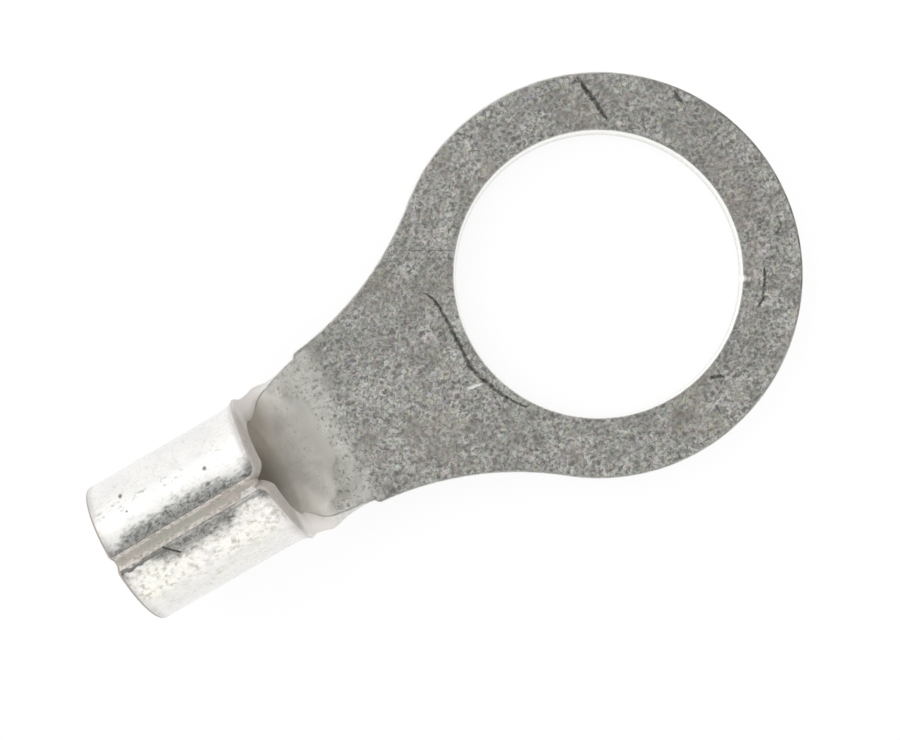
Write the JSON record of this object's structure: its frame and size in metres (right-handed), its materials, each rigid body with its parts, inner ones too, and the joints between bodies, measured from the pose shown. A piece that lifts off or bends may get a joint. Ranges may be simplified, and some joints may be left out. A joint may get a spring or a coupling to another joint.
{
  "type": "ring terminal",
  "caption": "Bare ring terminal of tinned copper sheet: flat ring tongue for an M8 stud, dished neck and a wire barrel rolled to a brazed seam.",
  "frame": {"origin": "centre of the stud's hole on the tongue's underside", "axes": "+Z along the stud, out of the tongue's upper face, on the side to which the barrel rises; +X along the terminal from the barrel to the far edge of the ring"},
  "size_m": [0.022, 0.012, 0.0044],
  "materials": {
    "tinned_copper": "satin tin plating over copper"
  },
  "bodies": {
    "root": {"ring_terminal": "tinned_copper"}
  },
  "joints": []
}
